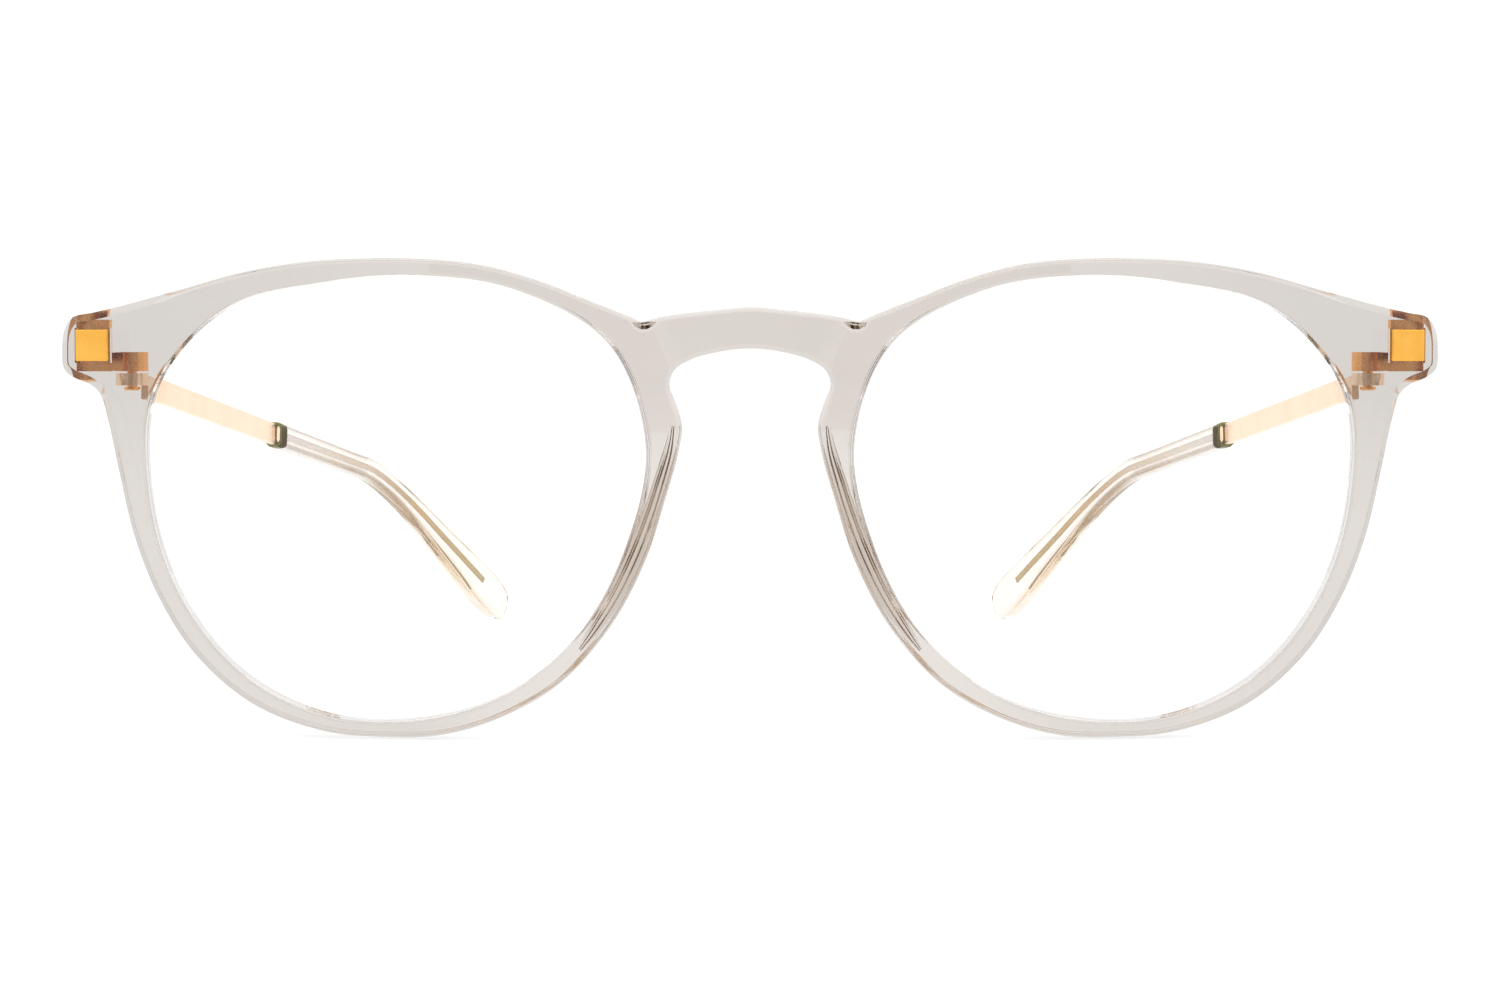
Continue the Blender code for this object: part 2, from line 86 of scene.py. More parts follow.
OPENING = (
    (58.9, 23.2), (58.3, 33.9), (51.1, 41.7), (41.2, 44.2), (32.1, 44.8), (22.7, 43.4),
    (13.7, 38.2), (10.1, 28.4), (12.1, 18.5), (16.6, 10.2), (23.5, 4.3), (32.1, 1.7),
    (41.3, 2.0), (49.8, 6.1), (55.9, 13.6),
)
OPENING_CENTRE = (34.4, 23.2)
OPENING_REACH = 24.5
CURVE_STEP = 0.45
# The flat faces are cut into slices along X, so that they can follow the front's curve.
SLICE = 1.0
SLICES = 67
CUT_NEAR = 1e-5
ROUND_SEGMENTS = 5
EDGE_ROUND = 0.45
OPENING_ROUND = 0.3
END_BEVEL = (0.75, 0.55)
END_FADE_X = (52.0, 60.0)
END_FADE_Z = (31.5, 33.5)
WALL_MARGIN = 0.12
FACE_NEAR = 0.002
NASAL_SPLAY = 0.2
NASAL_FADE_X = (22.0, 14.0)
NASAL_FADE_Z = (3.0, 7.5)
NASAL_TOP_Z = (35.2, 32.5)
OPENING_SPLAY = 0.45
OPENING_FADE_X = (24.0, 12.0)
OPENING_FADE_Z = (6.0, 16.0)
NOTCH = (10.2, 40.5)
NOTCH_HALF = 1.3
NOTCH_SPLAY = 0.8
SADDLE_TOP = (9.2, 39.3)
SADDLE_FOOT = (7.7, 35.85)
SADDLE_RELIEF = 0.12
SADDLE_REACH = 1.2
SADDLE_ABOVE_Z = 35.0
SADDLE_DEPTH = (0.5, 1.0)

# Lens and its groove.
LENS_EDGE = 0.2
LENS_THICKNESS = 1.0
LENS_FRONT = 1.5
LENS_CROWN = 0.9
LENS_RINGS = 24
LENS_STEP = 1.0
GROOVE_GAP = 0.04

# Colour of the front: it deepens towards the end pieces.
END_SPAN_X = (25.0, 58.0)
END_TINT = (0.92, 0.932, 0.932)

# Square plate, its stud, and the hinge behind it.
PLATE_X = 64.47
PLATE_Z = 38.05
PLATE_SIZE = (3.4, 3.1)
PLATE_THICKNESS = 0.85
PLATE_PROUD = 0.3
PLATE_GAP = 0.15
PLATE_ROUND = 0.12
POCKET_SPARE = 0.02
POCKET_START = -3.0
STUD_RADIUS = 0.3
HOLE_RADIUS = 0.45
HOLE_ENDS = (-1.0, 8.0)
STUD_END = 5.0
STUD_OVERLAP = 0.3
BARREL_RADIUS = 1.6
BORE_RADIUS = 0.55
ARM_KNUCKLE_Z = (34.1, 35.3)

# Temples.
STRIP_THICKNESS = 0.7
STRIP_HEIGHT = 2.4
STRIP_ROUND = 0.12
ARM_Z = 33.9
INWARD = 0.1026
DOWNWARD = 0.1186
BEND_Y = 108.8
BEND_RADIUS = 45.0
DROP = (-13.2, 24.5, -18.5)
FERRULE_AT = 51.6
FERRULE_SIZE = (1.9, 1.4, 2.85)
FERRULE_CHAMFER = 0.45
FERRULE_LEAD = 1.2
FERRULE_LIP = (0.12, 0.9)
FERRULE_ROUND = 0.05
TONGUE_SIZE = (0.3, 1.9)
TONGUE_PROUD = 0.15
TONGUE_SLOPE = 0.8
TONGUE_ACROSS = -0.62
TONGUE_ROOT = 0.4
CORE_HEIGHT = 0.8
CORE_THICKNESS = 0.6
CORE_START = 0.3
CORE_STEP = 0.02
CORE_END = 137.0
# Painted reflection on the wire inside the tip: from here back its colour is a ramp along Y, pale near
# the ferrule and tan further on, standing in for the light it catches through the tip.
CORE_REFLECTION_FROM_Y = (-10.2, -9.8)
CORE_REFLECTION_SPAN_Y = (-10.0, 70.0)
CORE_PAINTED_REFLECTION = (
    (0.0, (0.85, 0.78, 0.74)), (0.22, (0.85, 0.76, 0.66)), (0.45, (0.78, 0.56, 0.30)),
    (0.75, (0.60, 0.38, 0.18)), (1.0, (0.46, 0.36, 0.17)),
)
TIP_SECTIONS = (
    (53.15, 1.9, 2.7, 0.0), (68.0, 2.0, 2.7, 0.0), (84.0, 2.1, 2.65, 0.0), (98.0, 2.2, 2.8, 0.0),
    (108.0, 2.2, 2.95, 0.1), (116.0, 2.3, 3.2, 0.2), (124.0, 2.3, 3.8, 0.3), (131.0, 2.4, 4.6, 0.4),
    (137.0, 2.4, 5.4, 0.5), (141.0, 2.4, 5.3, 0.5), (143.4, 2.0, 4.1, 0.48), (144.5, 1.2, 2.4, 0.5),
)
TIP_SIDES = 48
TIP_SQUARE = 0.4
TIP_STEPS = 10
TIP_CLOSING = (0.12, 0.6, 0.7)

# Nose pad: X, Z, width, height and flare along the nasal rim.
PAD_SECTIONS = (
    (7.2, 30.2, 0.5, 0.3, 0.05), (7.4, 27.6, 1.0, 1.6, 0.15), (8.1, 24.4, 1.3, 3.1, 0.3),
    (9.1, 20.8, 1.5, 4.1, 0.4), (10.5, 17.0, 1.6, 4.1, 0.45), (12.3, 13.4, 1.5, 3.3, 0.4),
    (14.4, 10.3, 1.2, 1.9, 0.3), (16.3, 8.2, 0.6, 0.4, 0.1),
)
PAD_SETBACK = 0.1
PAD_FOOT = 0.1
PAD_SINK = 0.4
PAD_STEPS = 12
PAD_CREST = 0.7
PAD_ARC = 8

# Materials: the part of a noise's range that is used, and how deep a bump is, in metres.
NOISE_SPAN = (0.3, 0.7)
BUMP_DEPTH = 0.00002

# Stage: name, place in metres, size and power of each soft light.
LIGHTS = (
    ("top_softbox", (0.0, 0.1, 1.3), 1.2, 6.0),
    ("left_softbox", (-1.1, -0.5, 0.8), 0.8, 3.0),
    ("right_softbox", (1.1, -0.5, 0.8), 0.8, 3.0),
)
WORLD_STRENGTH = 1.12
FLOOR_GLOW = 0.72
FLOOR_SIZE = 4.0
FLOOR_DROP = 0.0002
CARD_AT = (0.0, -1.1, 0.25)
CARD_SIZE = (0.7, 0.5)

# Camera: level with the brow, a third of a metre in front of the rims.
CAMERA_AT = (0.0, -385.8, 37.0)
CAMERA_TILT = 2.53
CAMERA_LENS = 77.875


# ---------------------------------------------------------------- small helpers


def smoothstep(low, high, value):
    t = min(max((value - low) / (high - low), 0.0), 1.0)
    return t * t * (3 - 2 * t)


def spline_point(before, here, after, beyond, share):
    """A point between here and after on a centripetal Catmull-Rom spline."""
    knots = [0.0]
    for first, second in ((before, here), (here, after), (after, beyond)):
        knots.append(knots[-1] + math.sqrt(max((second - first).length, 1e-6)))
    at = knots[1] + (knots[2] - knots[1]) * share

    def between(first, second, low, high):
        return first + (second - first) * ((at - knots[low]) / (knots[high] - knots[low]))

    a = between(before, here, 0, 1)
    b = between(here, after, 1, 2)
    c = between(after, beyond, 2, 3)
    return between(between(a, b, 0, 2), between(b, c, 1, 3), 1, 2)


def smooth_loop(points, step):
    """A closed smooth curve through the points, with a point about every step."""
    points = [Vector(point) for point in points]
    count = len(points)
    curve = []
    for i, here in enumerate(points):
        before, after, beyond = points[i - 1], points[(i + 1) % count], points[(i + 2) % count]
        steps = max(2, round((after - here).length / step))
        curve += [spline_point(before, here, after, beyond, j / steps) for j in range(steps)]
    return curve


def smooth_rows(rows, steps):
    """Rows of numbers read more finely, on a smooth curve through each column."""
    rows = [Vector(row) for row in rows]
    last = len(rows) - 1
    fine = []
    for i in range(last):
        before, beyond = rows[max(i - 1, 0)], rows[min(i + 2, last)]
        for j in range(steps):
            t = j / steps
            here, after = rows[i], rows[i + 1]
            lead, trail = (after - before) / 2, (beyond - here) / 2
            fine.append(
                here * (2 * t**3 - 3 * t**2 + 1) + lead * (t**3 - 2 * t**2 + t)
                + after * (3 * t**2 - 2 * t**3) + trail * (t**3 - t**2)
            )
    return fine + [rows[last]]


def new_object(name, mesh, material=None):
    obj = bpy.data.objects.new(name, mesh)
    bpy.context.scene.collection.objects.link(obj)
    if material:
        mesh.materials.clear()
        mesh.materials.append(material)
    return obj


def mesh_of(bm, name):
    bmesh.ops.recalc_face_normals(bm, faces=bm.faces)
    mesh = bpy.data.meshes.new(name)
    bm.to_mesh(mesh)
    bm.free()
    return mesh


def shape(name, make, material=None):
    bm = bmesh.new()
    make(bm)
    return new_object(name, mesh_of(bm, name), material)


def join_by(obj, other, operation):
    """Applies a Boolean with another object, which is then removed."""
    modifier = obj.modifiers.new(operation, "BOOLEAN")
    modifier.operation = operation
    modifier.solver = "MANIFOLD"
    modifier.object = other
    apply_modifiers(obj)
    bpy.data.objects.remove(other, do_unlink=True)


def apply_modifiers(obj):
    bpy.context.view_layer.update()
    graph = bpy.context.evaluated_depsgraph_get()
    mesh = bpy.data.meshes.new_from_object(obj.evaluated_get(graph))
    obj.modifiers.clear()
    obj.data = mesh


def shade(obj, angle=30.0, weighted=True):
    """Smooth shading that keeps sharp edges, with flat faces staying flat beside rounded ones."""
    obj.data.shade_smooth()
    obj.data.set_sharp_from_angle(angle=math.radians(angle))
    if weighted:
        modifier = obj.modifiers.new("weighted normals", "WEIGHTED_NORMAL")
        modifier.keep_sharp = True


def soften(obj, width, segments):
    """A modifier that rounds the sharp edges."""
    bevel = obj.modifiers.new("soft edges", "BEVEL")
    bevel.width = width * MM
    bevel.segments = segments
    bevel.limit_method = "ANGLE"


def loft(bm, rings):
    """Joins rings of equally many points into one closed skin with flat ends."""
    made = [[bm.verts.new(point * MM) for point in ring] for ring in rings]
    count = len(rings[0])
    for ring, following in zip(made, made[1:]):
        for i in range(count):
            j = (i + 1) % count
            bm.faces.new((ring[i], ring[j], following[j], following[i]))
    bm.faces.new(made[0])
    bm.faces.new(made[-1])


def rod_into(bm, radius, ends, place, segments=64):
    """A rod along the place's Z, between these two heights."""
    low, high = ends
    shift = Matrix.Translation((0, 0, (low + high) / 2 * MM))
    bmesh.ops.create_cone(
        bm, cap_ends=True, segments=segments, radius1=radius * MM, radius2=radius * MM,
        depth=(high - low) * MM, matrix=place @ shift,
    )


def box_into(bm, low, high, place):
    size = Vector(high) - Vector(low)
    middle = (Vector(high) + Vector(low)) / 2
    scale = Matrix.Diagonal((*(size * MM), 1.0))
    bmesh.ops.create_cube(bm, size=1.0, matrix=place @ Matrix.Translation(middle * MM) @ scale)


# ---------------------------------------------------------------- materials


class Nodes:
    """A material with a Principled shader, and short ways to add nodes to it."""

    def __init__(self, name):
        self.material = bpy.data.materials.new(name)
        self.material.use_nodes = True
        self.tree = self.material.node_tree
        self.shader = self.tree.nodes["Principled BSDF"]
        self.place = self.add("ShaderNodeTexCoord").outputs["Object"]

    def add(self, kind, **inputs):
        node = self.tree.nodes.new(kind)
        for name, value in inputs.items():
            node.inputs[name.replace("_", " ")].default_value = value
        return node

    def link(self, start, end):
        self.tree.links.new(start, end)

    def set(self, **inputs):
        for name, value in inputs.items():
            self.shader.inputs[name.replace("_", " ")].default_value = value

    def noise(self, scale, detail=3.0, stretch=(1.0, 1.0, 1.0)):
        mapping = self.add("ShaderNodeMapping", Scale=stretch)
        self.link(self.place, mapping.inputs["Vector"])
        noise = self.add("ShaderNodeTexNoise", Scale=scale, Detail=detail)
        self.link(mapping.outputs["Vector"], noise.inputs["Vector"])
        return noise.outputs["Fac"]

    def ramp(self, factor, low, high, start=NOISE_SPAN[0], end=NOISE_SPAN[1]):
        ramp = self.add("ShaderNodeValToRGB")
        ramp.color_ramp.elements[0].position = start
        ramp.color_ramp.elements[1].position = end
        ramp.color_ramp.elements[0].color = (*low, 1.0)
        ramp.color_ramp.elements[1].color = (*high, 1.0)
        self.link(factor, ramp.inputs["Fac"])
        return ramp.outputs["Color"]

    def spread(self, factor, low, high):
        start, end = NOISE_SPAN
        node = self.add("ShaderNodeMapRange", From_Min=start, From_Max=end, To_Min=low, To_Max=high)
        self.link(factor, node.inputs["Value"])
        return node.outputs["Result"]

    def bump(self, height, strength):
        node = self.add("ShaderNodeBump", Strength=strength, Distance=BUMP_DEPTH)
        self.link(height, node.inputs["Height"])
        self.link(node.outputs["Normal"], self.shader.inputs["Normal"])

    def along(self, axis, span, both_ways=False):
        """0 to 1 as the place goes from one end of the span to the other, in millimetres."""
        parts = self.add("ShaderNodeSeparateXYZ")
        self.link(self.place, parts.inputs["Vector"])
        at = parts.outputs[axis]
        if both_ways:
            size = self.add("ShaderNodeMath")
            size.operation = "ABSOLUTE"
            self.link(at, size.inputs[0])
            at = size.outputs[0]
        reach = self.add("ShaderNodeMapRange", From_Min=span[0] * MM, From_Max=span[1] * MM)
        self.link(at, reach.inputs["Value"])
        return reach.outputs["Result"]

    def blend(self, factor, first, second, how="MIX"):
        """Two colours mixed; the second is a node's output or a plain colour."""
        node = self.add("ShaderNodeMix")
        node.data_type = "RGBA"
        node.blend_type = how
        self.link(factor, node.inputs["Factor"])
        self.link(first, node.inputs[6])
        if isinstance(second, tuple):
            node.inputs[7].default_value = (*second, 1.0)
        else:
            self.link(second, node.inputs[7])
        return node.outputs[2]

    def absorb(self, colour, density):
        volume = self.add("ShaderNodeVolumeAbsorption", Color=(*colour, 1.0), Density=density)
        output = self.tree.nodes["Material Output"]
        self.link(volume.outputs["Volume"], output.inputs["Volume"])


def acetate(name, surface, absorbed, density, ends=None):
    """Polished see-through plastic: faint streaks of pigment, and a polish that isn't quite even.

    The ends are a colour that deepens it away from the middle of the face.
    """
    nodes = Nodes(name)
    nodes.set(Transmission_Weight=1.0, IOR=1.49)
    pigment = nodes.noise(90.0, 4.0, (1.0, 1.0, 2.5))
    faint = tuple(0.98 * channel for channel in surface)
    colour = nodes.ramp(pigment, faint, surface)
    if ends:
        colour = nodes.blend(nodes.along("X", END_SPAN_X, both_ways=True), colour, ends, "MULTIPLY")
    nodes.link(colour, nodes.shader.inputs["Base Color"])
    polish = nodes.noise(260.0, 2.0)
    nodes.link(nodes.spread(polish, 0.0, 0.03), nodes.shader.inputs["Roughness"])
    nodes.bump(nodes.noise(140.0, 1.0), 0.25)
    nodes.absorb(absorbed, density)
    return nodes.material


def metal(name, dark, light, roughness, grain, stretch, bump, painted_reflection=None):
    """Plated metal with a fine brushed grain. Behind the ferrule, the wire inside the tip gets a painted
    reflection: a colour ramp along Y, pale near the ferrule and tan further back, standing in for the
    light it picks up through the tip.
    """
    nodes = Nodes(name)
    nodes.set(Metallic=1.0)
    brushed = nodes.noise(grain, 3.0, stretch)
    patches = nodes.noise(220.0, 2.0)
    mix = nodes.add("ShaderNodeMix")
    mix.data_type = "FLOAT"
    mix.inputs["Factor"].default_value = 0.5
    nodes.link(brushed, mix.inputs["A"])
    nodes.link(patches, mix.inputs["B"])
    colour = nodes.ramp(mix.outputs["Result"], dark, light, 0.35, 0.65)
    # Painted reflection: the ramp along Y replaces the grain colour on the wire inside the tip.
    if painted_reflection:
        reflection_ramp = nodes.add("ShaderNodeValToRGB")
        stops = reflection_ramp.color_ramp.elements
        while len(stops) < len(painted_reflection):
            stops.new(1.0)
        for stop, (position, tone) in zip(stops, painted_reflection):
            stop.position = position
            stop.color = (*tone, 1.0)
        nodes.link(nodes.along("Y", CORE_REFLECTION_SPAN_Y), reflection_ramp.inputs["Fac"])
        colour = nodes.blend(nodes.along("Y", CORE_REFLECTION_FROM_Y), colour, reflection_ramp.outputs["Color"])
    nodes.link(colour, nodes.shader.inputs["Base Color"])
    rough = nodes.spread(brushed, roughness[0], roughness[1])
    nodes.link(rough, nodes.shader.inputs["Roughness"])
    nodes.bump(brushed, bump)
    return nodes.material


def lens_material():
    """Clear lens with an anti-reflection coating, which takes most of the gloss away."""
    nodes = Nodes("lens_clear")
    nodes.set(Transmission_Weight=1.0, IOR=1.5, Specular_IOR_Level=0.12)
    nodes.set(Specular_Tint=(0.75, 1.0, 0.85, 1.0))
    film = nodes.noise(30.0, 1.0)
    tint = nodes.ramp(film, (0.99, 1.0, 0.995), (1.0, 1.0, 1.0))
    nodes.link(tint, nodes.shader.inputs["Base Color"])
    nodes.link(nodes.spread(nodes.noise(120.0), 0.0, 0.008), nodes.shader.inputs["Roughness"])
    return nodes.material


# ---------------------------------------------------------------- the front


def curved_back(x):
    """How far the front has curved back, a distance x from its middle."""
    return x * x / (2 * FRONT_RADIUS)


def opening_outline(side, grow=0.0, step=CURVE_STEP):
    scale = 1 + grow / OPENING_REACH
    cx, cz = OPENING_CENTRE
    points = [(side * (cx + (x - cx) * scale), cz + (z - cz) * scale) for x, z in OPENING]
    return smooth_loop(points, step)


def front_outline():
    mirrored = [(-x, z) for x, z in reversed(OUTER_HALF[1:-1])]
    return smooth_loop(list(OUTER_HALF) + mirrored, CURVE_STEP)


def outward_normals(loop):
    """Unit normals of a closed 2D loop, pointing out of the area that it encloses."""
    area = sum(a.x * b.y - b.x * a.y for a, b in zip(loop, loop[1:] + loop[:1]))
    turn = 1 if area > 0 else -1
    normals = []
    for i in range(len(loop)):
        along = loop[(i + 1) % len(loop)] - loop[i - 1]
        normals.append(Vector((along.y, -along.x)).normalized() * turn)
    return normals


def edge_profile(front_round, back_round):
    """Each ring's inset and depth, from the front face over the edge to the back face.

    The last two numbers are the inset and the depth where the front edge is bevelled instead.
    """
    wide, deep = END_BEVEL
    quarter = [math.pi / 2 * i / ROUND_SEGMENTS for i in range(ROUND_SEGMENTS + 1)]
    over = []
    for i, a in enumerate(quarter):
        share = i / ROUND_SEGMENTS
        inset, depth = front_round * (1 - math.sin(a)), front_round * (1 - math.cos(a))
        over.append((inset, depth, wide * (1 - share), deep * share))
    over.append((0.0, front_round + WALL_MARGIN, 0.0, deep + WALL_MARGIN))
    wall_end = RIM_DEPTH - back_round - WALL_MARGIN
    back = [(0.0, wall_end, 0.0, wall_end)]
    for a in reversed(quarter):
        inset, depth = back_round * (1 - math.sin(a)), RIM_DEPTH - back_round * (1 - math.cos(a))
        back.append((inset, depth, inset, depth))
    return over, back


def end_share(x, z):
    """1 round the end pieces, where the front edge is bevelled, and 0 along the rims."""
    return smoothstep(*END_FADE_X, abs(x)) * smoothstep(*END_FADE_Z, z)


def outer_splay(x, z):
    """How much the wall leans into the material, from the front face to the back."""
    nasal = smoothstep(*NASAL_TOP_Z, z) * smoothstep(*NASAL_FADE_X, abs(x)) * smoothstep(*NASAL_FADE_Z, z)
    notch = max(0.0, 1 - ((abs(x) - NOTCH[0]) / NOTCH_HALF) ** 2) * (z > NOTCH[1] - 3.0)
    return NASAL_SPLAY * nasal + NOTCH_SPLAY * notch


def opening_splay(x, z):
    return OPENING_SPLAY * (smoothstep(*OPENING_FADE_X, abs(x)) * smoothstep(*OPENING_FADE_Z, z))


def lens_sag(x, z):
    """How far the lens bulges forwards of its edge at this point."""
    away = ((abs(x) - OPENING_CENTRE[0]) ** 2 + (z - OPENING_CENTRE[1]) ** 2) / OPENING_REACH**2
    return LENS_CROWN * (1 - min(away, 1.0))


def ring_into(bm, loop, normals, row, splay, bevel=None, follows_lens=False):
    """One ring of the edge: the loop moved into the material, at a row's depth."""
    ring = []
    for point, normal in zip(loop, normals):
        share = bevel(point.x, point.y) if bevel else 0.0
        inset = row[0] + (row[2] - row[0]) * share
        depth = row[1] + (row[3] - row[1]) * share
        if follows_lens:
            depth -= lens_sag(point.x, point.y)
        lean = splay(point.x, point.y) * depth / RIM_DEPTH
        x, z = point - normal * (inset + lean)
        ring.append(bm.verts.new((x, depth, z)))
    return ring


def skin_between(bm, rings):
    for ring, following in zip(rings, rings[1:]):
        for i in range(len(ring)):
            j = (i + 1) % len(ring)
            bm.faces.new((ring[i], ring[j], following[j], following[i]))


def cap(bm, rings):
    """Fills the flat area between an outer ring and the rings of its holes."""
    edges = []
    for ring in rings:
        for i in range(len(ring)):
            edges.append(bm.edges.get((ring[i], ring[(i + 1) % len(ring)])))
    bmesh.ops.triangle_fill(bm, use_beauty=True, use_dissolve=False, edges=edges)


def saddle_across():
    """The direction from the crease beside the bridge towards the middle."""
    along = Vector(SADDLE_FOOT) - Vector(SADDLE_TOP)
    return Vector((along.y, -along.x)).normalized()


def saddle_relief(x, z):
    """How much the back of the bridge is hollowed out, from the crease towards the middle."""
    share = (Vector((abs(x), z)) - Vector(SADDLE_TOP)).dot(saddle_across())
    return SADDLE_RELIEF * (1 - math.exp(-max(share, 0.0) / SADDLE_REACH))


def face_normal(x, y, z):
    """The exact normal of the front or back face at this point, or None off both."""
    depth = y - FRONT_Y - curved_back(x)
    if abs(depth) < FACE_NEAR:
        return Vector((x / FRONT_RADIUS, -1.0, 0.0)).normalized()
    if abs(depth - RIM_DEPTH + saddle_relief(x, z)) < FACE_NEAR:
        tiny = 0.01
        slope_x = (saddle_relief(x + tiny, z) - saddle_relief(x - tiny, z)) / (2 * tiny)
        slope_z = (saddle_relief(x, z + tiny) - saddle_relief(x, z - tiny)) / (2 * tiny)
        return Vector((slope_x - x / FRONT_RADIUS, 1.0, slope_z)).normalized()
    return None


def polish_faces(obj):
    """Smooth shading whose normals are exact on both faces, so that no edge bleeds into them."""
    mesh = obj.data
    mesh.shade_smooth()
    mesh.set_sharp_from_angle(angle=math.radians(30))
    normals = [Vector(corner.vector) for corner in mesh.corner_normals]
    for polygon in mesh.polygons:
        for corner in polygon.loop_indices:
            exact = face_normal(*(mesh.vertices[mesh.loops[corner].vertex_index].co / MM))
            if exact and exact.dot(polygon.normal) > math.cos(math.radians(25)):
                normals[corner] = exact
    mesh.normals_split_custom_set(normals)


def acetate_front(material):
    bm = bmesh.new()
    over, back = edge_profile(EDGE_ROUND, EDGE_ROUND)
    outer = front_outline()
    normals = outward_normals(outer)
    rings = [ring_into(bm, outer, normals, row, outer_splay, end_share) for row in over + back]
    skin_between(bm, rings)
    fronts, backs = [rings[0]], [rings[-1]]

    over, back = edge_profile(OPENING_ROUND, OPENING_ROUND)
    groove_in, groove_out = LENS_FRONT - GROOVE_GAP, LENS_FRONT + LENS_THICKNESS + GROOVE_GAP
    deep = LENS_EDGE + GROOVE_GAP
    groove = [
        (inset, depth, inset, depth)
        for inset, depth in ((0.0, groove_in), (deep, groove_in), (deep, groove_out), (0.0, groove_out))
    ]
    for side in (1, -1):
        loop = opening_outline(side)
        inward = [-n for n in outward_normals(loop)]
        rings = [ring_into(bm, loop, inward, row, opening_splay) for row in over]
        rings += [ring_into(bm, loop, inward, row, opening_splay, follows_lens=True) for row in groove]
        rings += [ring_into(bm, loop, inward, row, opening_splay) for row in back]
        skin_between(bm, rings)
        fronts.append(rings[0])
        backs.append(rings[-1])
    cap(bm, fronts)
    cap(bm, backs)

    for i in range(-SLICES, SLICES + 1):
        geometry = bm.verts[:] + bm.edges[:] + bm.faces[:]
        point, normal = (i * SLICE, 0, 0), (1, 0, 0)
        bmesh.ops.bisect_plane(bm, geom=geometry, plane_co=point, plane_no=normal, dist=CUT_NEAR)
    for side in (1, -1):
        across = saddle_across()
        geometry = bm.verts[:] + bm.edges[:] + bm.faces[:]
        point, normal = (side * SADDLE_TOP[0], 0, SADDLE_TOP[1]), (side * across.x, 0, across.y)
        bmesh.ops.bisect_plane(bm, geom=geometry, plane_co=point, plane_no=normal, dist=CUT_NEAR)
    for vertex in bm.verts:
        x, depth, z = vertex.co
        hollow = 0.0
        if z > SADDLE_ABOVE_Z:
            hollow = saddle_relief(x, z) * smoothstep(*SADDLE_DEPTH, depth / RIM_DEPTH)
        vertex.co = Vector((x, FRONT_Y + curved_back(x) + depth - hollow, z)) * MM
    bmesh.ops.remove_doubles(bm, verts=bm.verts, dist=1e-7)
    front = new_object("acetate_front", mesh_of(bm, "acetate_front"), material)
    for name, side in SIDES:
        join_by(front, nose_pad(name, side), "UNION")
        join_by(front, plate_pocket(side), "DIFFERENCE")
        join_by(front, stud_hole(side), "DIFFERENCE")
    polish_faces(front)
    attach(front, "front")
    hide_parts("front_frame", "nose_pad_left", "nose_pad_right")


def nose_pad(name, side):
    """The bonded pad: a leaf that leans away from the nose as it rises off the rim's back."""
    rows = smooth_rows(PAD_SECTIONS, PAD_STEPS)
    rings = []
    for i, (x, z, width, height, flare) in enumerate(rows):
        before, after = rows[max(i - 1, 0)], rows[min(i + 1, len(rows) - 1)]
        along = Vector((after[0] - before[0], 0.0, after[1] - before[1])).normalized()
        outwards = Vector((-along.z, 0.0, along.x))
        crest = min(PAD_CREST, width / 3)
        start = flare * PAD_SINK / max(height, 0.1)
        top = height - crest / 2
        section = [(-start, -PAD_SINK)] + [(flare * k / 4, top * k / 4) for k in range(1, 4)]
        for k in range(PAD_ARC + 1):
            angle = math.pi * (1 - k / PAD_ARC)
            section.append(
                (flare + crest / 2 * (1 + math.cos(angle)), top + crest / 2 * math.sin(angle))
            )
        foot = width + PAD_FOOT
        for k in range(1, PAD_ARC + 1):
            share = k / PAD_ARC
            across = flare + crest + (foot - flare - crest) * share
            section.append((across, top * (1 + math.cos(math.pi * share)) / 2 - PAD_SINK * share))
        ring = []
        for across, rise in section:
            point = Vector((x, 0.0, z)) + outwards * (PAD_SETBACK + across)
            rear = FRONT_Y + curved_back(point.x) + RIM_DEPTH
            ring.append(Vector((side * point.x, rear + rise, point.z)))
        rings.append(ring)
    return shape(f"pad_solid_{name}", lambda bm: loft(bm, rings))


# ---------------------------------------------------------------- plates and hinges


def plate_place(side):
    """The plate's frame: X along the end piece outwards, Y back through it, Z up."""
    slope = PLATE_X / FRONT_RADIUS
    along = Vector((1.0, slope, 0.0)).normalized()
    back = Vector((-along.y, along.x, 0.0))
    along.x *= side
    back.x *= side
    origin = Vector((side * PLATE_X, FRONT_Y + curved_back(PLATE_X), PLATE_Z)) * MM
    turn = Matrix((along, back, Vector((0, 0, 1)))).transposed().to_4x4()
    return Matrix.Translation(origin) @ turn


def along_stud(side):
    return plate_place(side) @ Matrix.Rotation(-math.pi / 2, 4, "X")


def plate_pocket(side):
    half_x = PLATE_SIZE[0] / 2 + PLATE_GAP
    half_z = PLATE_SIZE[1] / 2 + PLATE_GAP
    floor = PLATE_THICKNESS - PLATE_PROUD + POCKET_SPARE
    low, high = (-half_x, POCKET_START, -half_z), (half_x, floor, half_z)
    return shape("pocket", lambda bm: box_into(bm, low, high, plate_place(side)))


def stud_hole(side):
    return shape("hole", lambda bm: rod_into(bm, HOLE_RADIUS, HOLE_ENDS, along_stud(side)))


